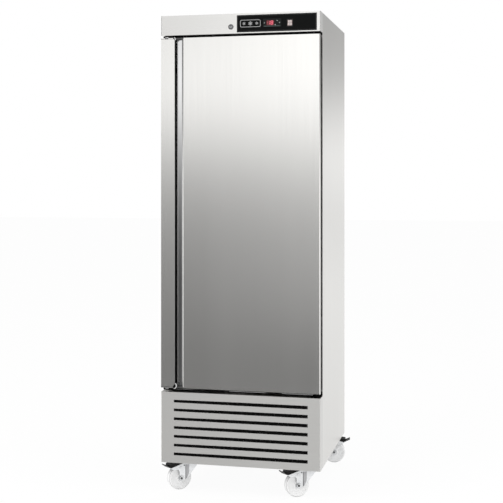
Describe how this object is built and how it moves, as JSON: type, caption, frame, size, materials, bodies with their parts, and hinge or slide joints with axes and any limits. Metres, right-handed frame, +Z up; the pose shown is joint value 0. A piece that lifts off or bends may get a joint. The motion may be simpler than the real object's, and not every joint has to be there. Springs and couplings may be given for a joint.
{
  "type": "upright freezer cabinet",
  "caption": "Upright steel freezer cabinet with one full-height door, a control header, a slotted lower grille and braked swivel castors.",
  "frame": {"origin": "on the floor, under the middle of the cabinet", "axes": "+Z up, -Y out of the door's front, +X to the right seen from the front"},
  "size_m": [0.744, 0.7034, 2.01],
  "materials": {
    "brushed_steel": "satin, finely brushed along its length",
    "galvanised": "galvanised sheet, dull",
    "foam": "closed-cell insulation foam",
    "liner": "white coated sheet, smooth",
    "black_plastic": "black, fine grain",
    "fascia": "black, high gloss",
    "display": "dark red window",
    "filter": "dark filter mesh",
    "gasket": "soft, dull",
    "cap_metal": "grey, satin",
    "white_plastic": "smooth white",
    "wire": "white coated wire",
    "slide_steel": "plain",
    "coil": "thin fins",
    "black_metal": "black enamel",
    "copper": "drawn copper tube",
    "motor": "grey",
    "box": "light grey",
    "zinc": "bright zinc plate",
    "chrome": "polished",
    "rocker": "translucent, lit",
    "keys": "black with a grey mark",
    "fan_blade": "dark grey",
    "nylon": "white, smooth"
  },
  "bodies": {
    "cabinet": {"left_side_panel": "brushed_steel", "right_side_panel": "brushed_steel", "top_panel": "brushed_steel", "back_panel": "galvanised", "base_plate": "galvanised", "cabinet_insulation": "foam", "cabin_liner": "liner", "breaker_frame": "black_plastic", "header_panel": "brushed_steel", "control_fascia": "fascia", "display_lens": "display", "controller_module": "black_plastic", "grille_panel": "brushed_steel", "air_filter": "filter", "hinge_brackets": "galvanised", "shelf_pilasters": "slide_steel", "shelf_slides": "slide_steel", "wire_shelves": "wire", "evaporator_cover": "liner", "evaporator_coil": "coil", "drip_tray": "white_plastic", "drain_tube": "white_plastic", "compressor": "black_metal", "condenser_coil": "coil", "condenser_shroud": "galvanised", "fan_motors": "motor", "refrigerant_lines": "copper", "condensate_pan": "white_plastic", "electrical_box": "box", "castor_plates": "zinc", "lock_body": "chrome", "cable_gland": "black_plastic"},
    "door": {"door_skin": "brushed_steel", "door_core": "foam", "door_frame": "black_plastic", "door_liner": "liner", "door_gasket": "gasket", "grip_profile": "brushed_steel", "grip_caps": "cap_metal", "hinge_bushes": "white_plastic"},
    "lock_barrel": {"lock_barrel": "chrome"},
    "power_switch": {"power_switch": "rocker"},
    "key_left": {"key_left": "keys"},
    "key_up": {"key_up": "keys"},
    "key_right": {"key_right": "keys"},
    "key_down": {"key_down": "keys"},
    "evaporator_fan": {"evaporator_fan": "fan_blade"},
    "condenser_fan": {"condenser_fan": "fan_blade"},
    "front_left_castor": {"front_left_fork": "zinc"},
    "front_left_wheel": {"front_left_wheel": "nylon"},
    "front_left_pedal": {"front_left_pedal": "black_plastic"},
    "front_right_castor": {"front_right_fork": "zinc"},
    "front_right_wheel": {"front_right_wheel": "nylon"},
    "front_right_pedal": {"front_right_pedal": "black_plastic"},
    "rear_left_castor": {"rear_left_fork": "zinc"},
    "rear_left_wheel": {"rear_left_wheel": "nylon"},
    "rear_left_pedal": {"rear_left_pedal": "black_plastic"},
    "rear_right_castor": {"rear_right_fork": "zinc"},
    "rear_right_wheel": {"rear_right_wheel": "nylon"},
    "rear_right_pedal": {"rear_right_pedal": "black_plastic"}
  },
  "joints": [
    {"name": "door_hinge", "type": "hinge", "parent": "cabinet", "child": "door", "pos_m": [0.322, -0.32625, 1.17975], "axis": [0, 0, 1], "range_deg": [0, 110], "stiffness_Nm_per_rad": 1.2, "springref_deg": -28.65},
    {"name": "lock_turn", "type": "hinge", "parent": "cabinet", "child": "lock_barrel", "pos_m": [-0.0365, -0.33725, 1.9556], "axis": [0, 1, 0], "range_deg": [0, 90]},
    {"name": "switch_rock", "type": "hinge", "parent": "cabinet", "child": "power_switch", "pos_m": [0.2135, -0.34325, 1.964], "axis": [1, 0, 0], "range_deg": [0, 14]},
    {"name": "key_left_press", "type": "slide", "parent": "cabinet", "child": "key_left", "axis": [0, 1, 0], "range_m": [0, 0.0005], "stiffness_N_per_m": 300},
    {"name": "key_up_press", "type": "slide", "parent": "cabinet", "child": "key_up", "axis": [0, 1, 0], "range_m": [0, 0.0005], "stiffness_N_per_m": 300},
    {"name": "key_right_press", "type": "slide", "parent": "cabinet", "child": "key_right", "axis": [0, 1, 0], "range_m": [0, 0.0005], "stiffness_N_per_m": 300},
    {"name": "key_down_press", "type": "slide", "parent": "cabinet", "child": "key_down", "axis": [0, 1, 0], "range_m": [0, 0.0005], "stiffness_N_per_m": 300},
    {"name": "evaporator_fan_spin", "type": "hinge", "parent": "cabinet", "child": "evaporator_fan", "pos_m": [0, -0.11425, 1.757], "axis": [0, 0, 1], "continuous": true},
    {"name": "condenser_fan_spin", "type": "hinge", "parent": "cabinet", "child": "condenser_fan", "pos_m": [-0.07, -0.21725, 0.261], "axis": [0, 1, 0], "continuous": true},
    {"name": "front_left_swivel", "type": "hinge", "parent": "cabinet", "child": "front_left_castor", "pos_m": [-0.256, -0.25425, 0.115], "axis": [0, 0, 1], "continuous": true},
    {"name": "front_left_roll", "type": "hinge", "parent": "front_left_castor", "child": "front_left_wheel", "pos_m": [-0.28205, -0.2761, 0.05], "axis": [0.6428, -0.766, 0], "continuous": true},
    {"name": "front_left_brake", "type": "hinge", "parent": "front_left_castor", "child": "front_left_pedal", "pos_m": [-0.27132, -0.26711, 0.1025], "axis": [-0.6428, 0.766, 0], "range_deg": [0, 10]},
    {"name": "front_right_swivel", "type": "hinge", "parent": "cabinet", "child": "front_right_castor", "pos_m": [0.256, -0.25425, 0.115], "axis": [0, 0, 1], "continuous": true},
    {"name": "front_right_roll", "type": "hinge", "parent": "front_right_castor", "child": "front_right_wheel", "pos_m": [0.22717, -0.27227, 0.05], "axis": [0.5299, -0.848, 0], "continuous": true},
    {"name": "front_right_brake", "type": "hinge", "parent": "front_right_castor", "child": "front_right_pedal", "pos_m": [0.23904, -0.26485, 0.1025], "axis": [-0.5299, 0.848, 0], "range_deg": [0, 10]},
    {"name": "rear_left_swivel", "type": "hinge", "parent": "cabinet", "child": "rear_left_castor", "pos_m": [-0.264, 0.30175, 0.115], "axis": [0, 0, 1], "continuous": true},
    {"name": "rear_left_roll", "type": "hinge", "parent": "rear_left_castor", "child": "rear_left_wheel", "pos_m": [-0.29767, 0.30648, 0.05], "axis": [-0.1392, -0.9903, 0], "continuous": true},
    {"name": "rear_left_brake", "type": "hinge", "parent": "rear_left_castor", "child": "rear_left_pedal", "pos_m": [-0.2838, 0.30453, 0.1025], "axis": [0.1392, 0.9903, 0], "range_deg": [0, 10]},
    {"name": "rear_right_swivel", "type": "hinge", "parent": "cabinet", "child": "rear_right_castor", "pos_m": [0.264, 0.30175, 0.115], "axis": [0, 0, 1], "continuous": true},
    {"name": "rear_right_roll", "type": "hinge", "parent": "rear_right_castor", "child": "rear_right_wheel", "pos_m": [0.29767, 0.30648, 0.05], "axis": [-0.1392, 0.9903, 0], "continuous": true},
    {"name": "rear_right_brake", "type": "hinge", "parent": "rear_right_castor", "child": "rear_right_pedal", "pos_m": [0.2838, 0.30453, 0.1025], "axis": [0.1392, -0.9903, 0], "range_deg": [0, 10]}
  ]
}
